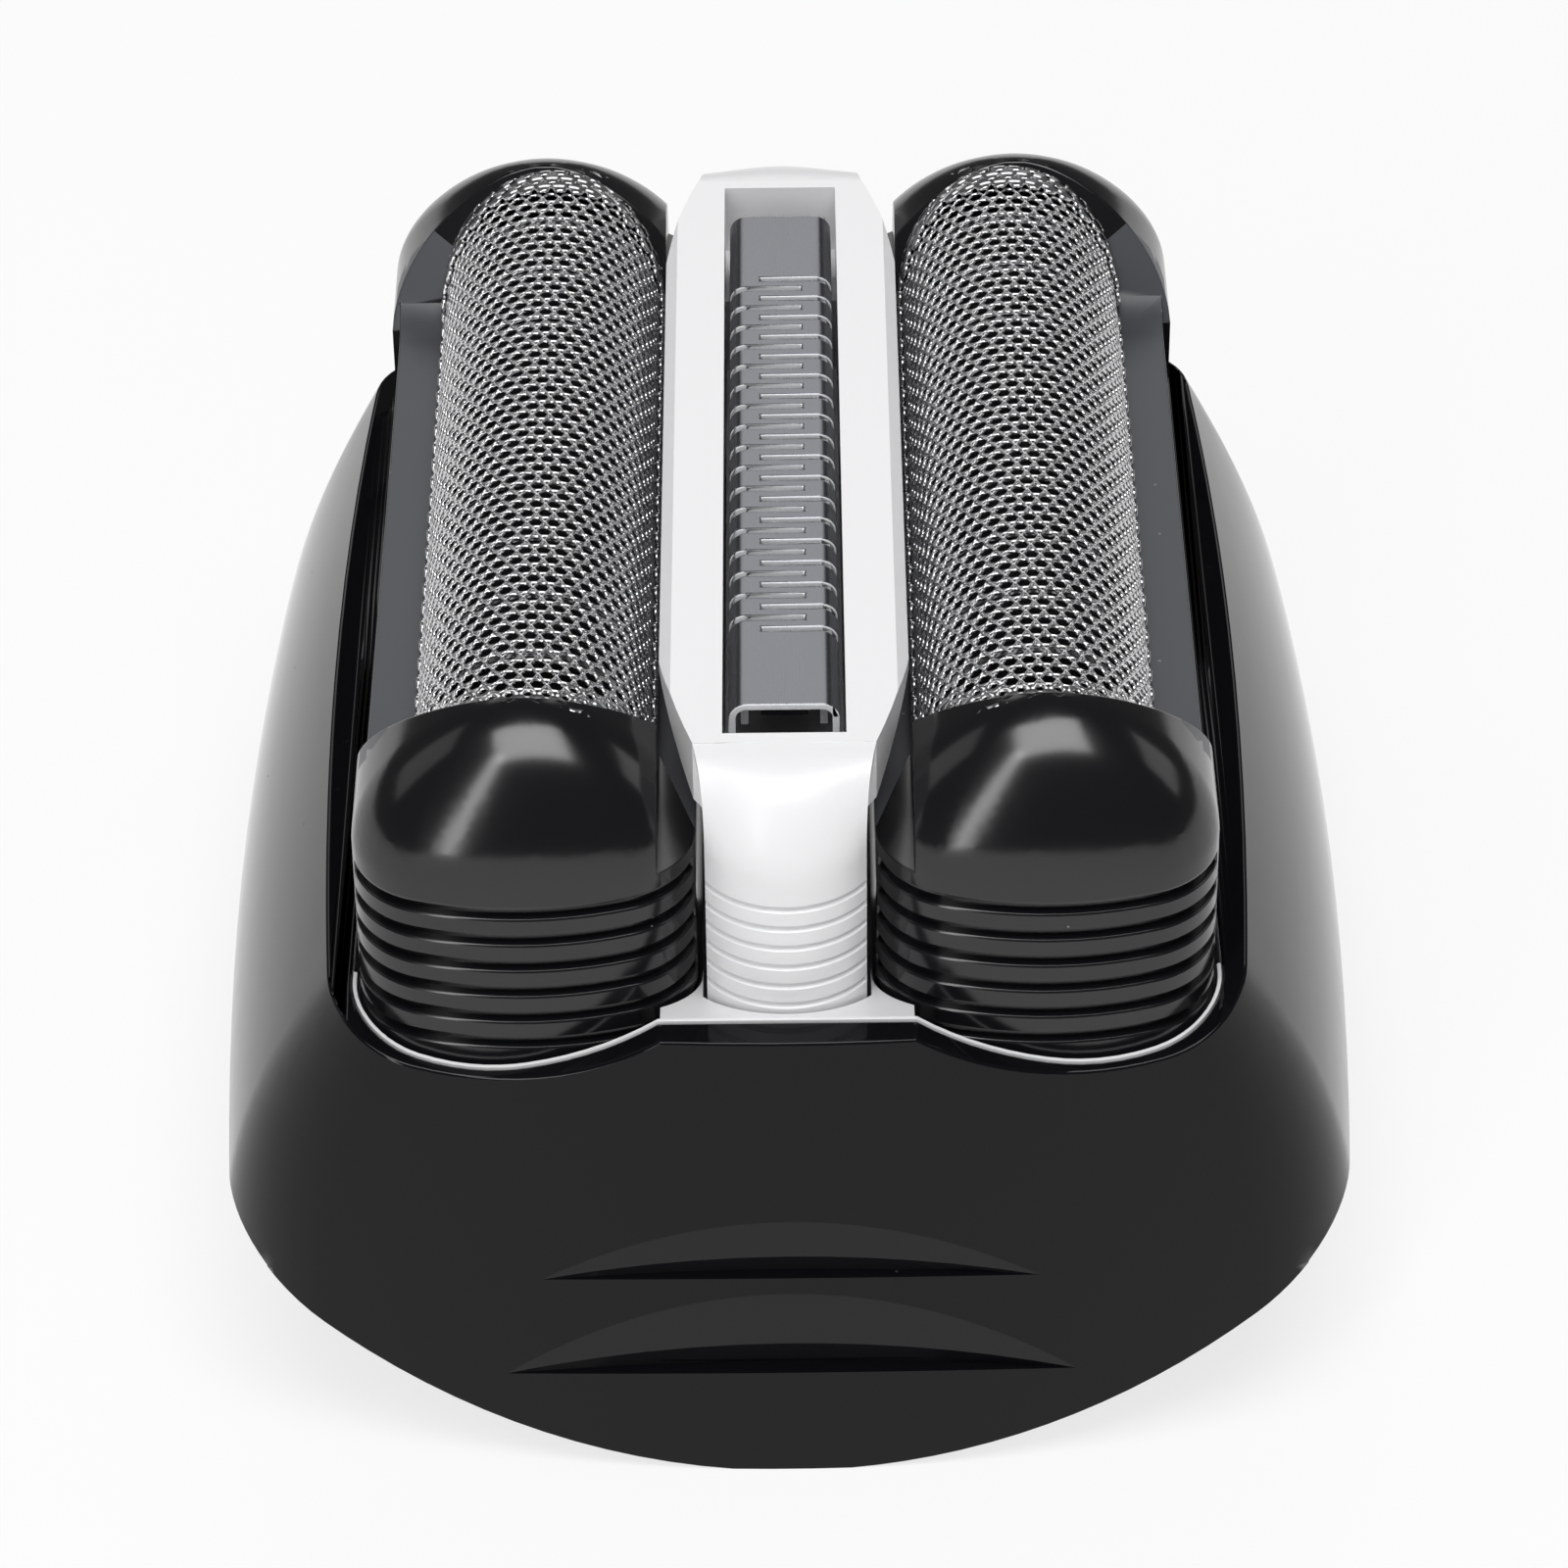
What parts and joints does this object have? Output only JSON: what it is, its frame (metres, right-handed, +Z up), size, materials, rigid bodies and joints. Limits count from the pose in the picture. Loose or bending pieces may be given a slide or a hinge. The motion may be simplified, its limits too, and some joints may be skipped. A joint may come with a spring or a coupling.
{
  "type": "electric shaver foil head",
  "caption": "Replaceable shaver head: flared glossy housing, arched perforated foils in sprung ribbed frames, sliding cutters under them and a slotted centre trimmer.",
  "frame": {"origin": "middle of the part on the plane that its lowest skirt edges stand on", "axes": "+X across the foils, to the right in the picture; +Y along the foils, away from the picture's camera; +Z up, through the shaving side"},
  "size_m": [0.04, 0.044, 0.0293],
  "materials": {
    "housing_black": "high gloss black",
    "frame_black": "gloss black, satin on the rails",
    "white_plastic": "semi-gloss white",
    "foil_steel": "bright perforated sheet",
    "comb_steel": "bright rolled sheet",
    "blade_steel": "ground",
    "spring_steel": "bright strip",
    "slide_grey": "moulded, matt"
  },
  "bodies": {
    "housing_body": {"housing": "housing_black", "carrier_frame": "white_plastic", "left_spring_near": "spring_steel", "left_spring_far": "spring_steel", "right_spring_near": "spring_steel", "right_spring_far": "spring_steel", "trimmer_spring_near": "spring_steel", "trimmer_spring_far": "spring_steel"},
    "left_foil_unit": {"left_foil_frame": "frame_black", "left_foil": "foil_steel"},
    "right_foil_unit": {"right_foil_frame": "frame_black", "right_foil": "foil_steel"},
    "left_cutter": {"left_cutter_carrier": "slide_grey", "left_cutter_blades": "blade_steel", "left_drive_shoe": "slide_grey"},
    "right_cutter": {"right_cutter_carrier": "slide_grey", "right_cutter_blades": "blade_steel", "right_drive_shoe": "slide_grey"},
    "trimmer_unit": {"trimmer_frame": "white_plastic", "trimmer_comb": "comb_steel"},
    "trimmer_slide": {"trimmer_blade": "blade_steel", "trimmer_driver": "slide_grey"}
  },
  "joints": [
    {"name": "left_foil_float", "type": "slide", "parent": "housing_body", "child": "left_foil_unit", "axis": [0, 0, 1], "range_m": [-0.0012, 0], "stiffness_N_per_m": 400, "springref_m": 0.0015, "deforming": ["left_spring_near", "left_spring_far"]},
    {"name": "right_foil_float", "type": "slide", "parent": "housing_body", "child": "right_foil_unit", "axis": [0, 0, 1], "range_m": [-0.0012, 0], "stiffness_N_per_m": 400, "springref_m": 0.0015, "deforming": ["right_spring_near", "right_spring_far"]},
    {"name": "trimmer_float", "type": "slide", "parent": "housing_body", "child": "trimmer_unit", "axis": [0, 0, 1], "range_m": [-0.001, 0], "stiffness_N_per_m": 300, "springref_m": 0.0015, "deforming": ["trimmer_spring_near", "trimmer_spring_far"]},
    {"name": "left_cutter_stroke", "type": "slide", "parent": "left_foil_unit", "child": "left_cutter", "axis": [0, 1, 0], "range_m": [-0.001, 0.001]},
    {"name": "right_cutter_stroke", "type": "slide", "parent": "right_foil_unit", "child": "right_cutter", "axis": [0, 1, 0], "range_m": [-0.001, 0.001]},
    {"name": "trimmer_stroke", "type": "slide", "parent": "trimmer_unit", "child": "trimmer_slide", "axis": [0, 1, 0], "range_m": [-0.0009, 0.0009]}
  ]
}
